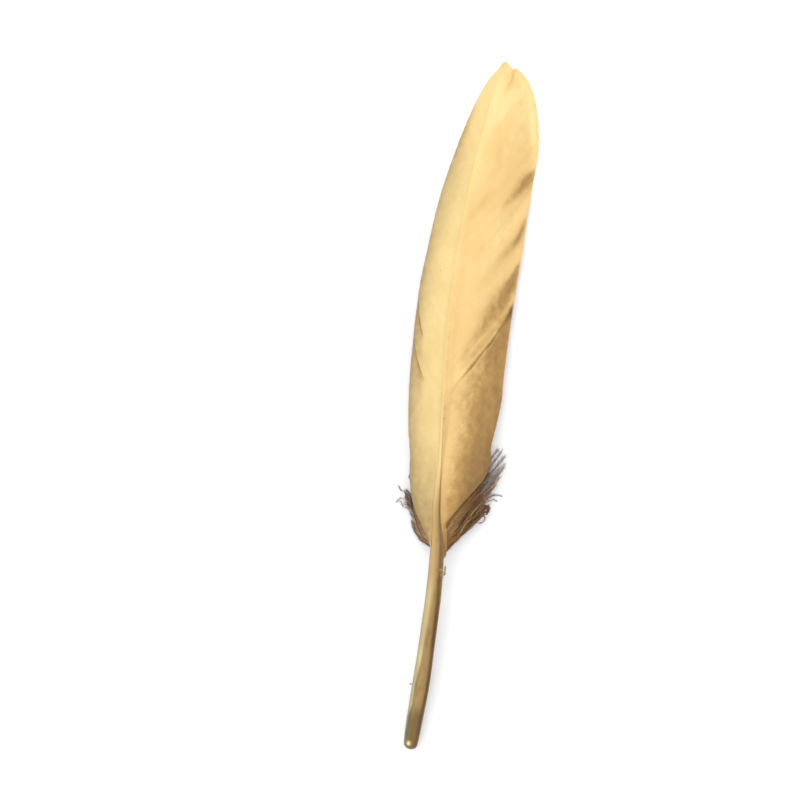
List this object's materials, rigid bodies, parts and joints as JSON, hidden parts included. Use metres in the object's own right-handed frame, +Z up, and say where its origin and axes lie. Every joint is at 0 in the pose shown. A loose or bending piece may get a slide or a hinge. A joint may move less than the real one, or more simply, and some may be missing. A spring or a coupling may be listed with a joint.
{
  "type": "goose quill feather",
  "caption": "Gold painted goose wing feather lying hollow side down: bare quill, curved shaft, narrow and broad vane with a few parted barbs, brown down at the foot.",
  "frame": {"origin": "on the surface that the feather lies on, under the middle of its box", "axes": "+Y from the quill's end to the feather's tip, +X towards the broad trailing vane, +Z up from the surface, with the feather's outer side up and its hollow side down"},
  "size_m": [0.0288, 0.1802, 0.0088],
  "materials": {
    "gold_vane": "satin",
    "gold_shaft": "satin",
    "down": "matte"
  },
  "bodies": {
    "root": {"feather": "gold_vane"}
  },
  "joints": []
}
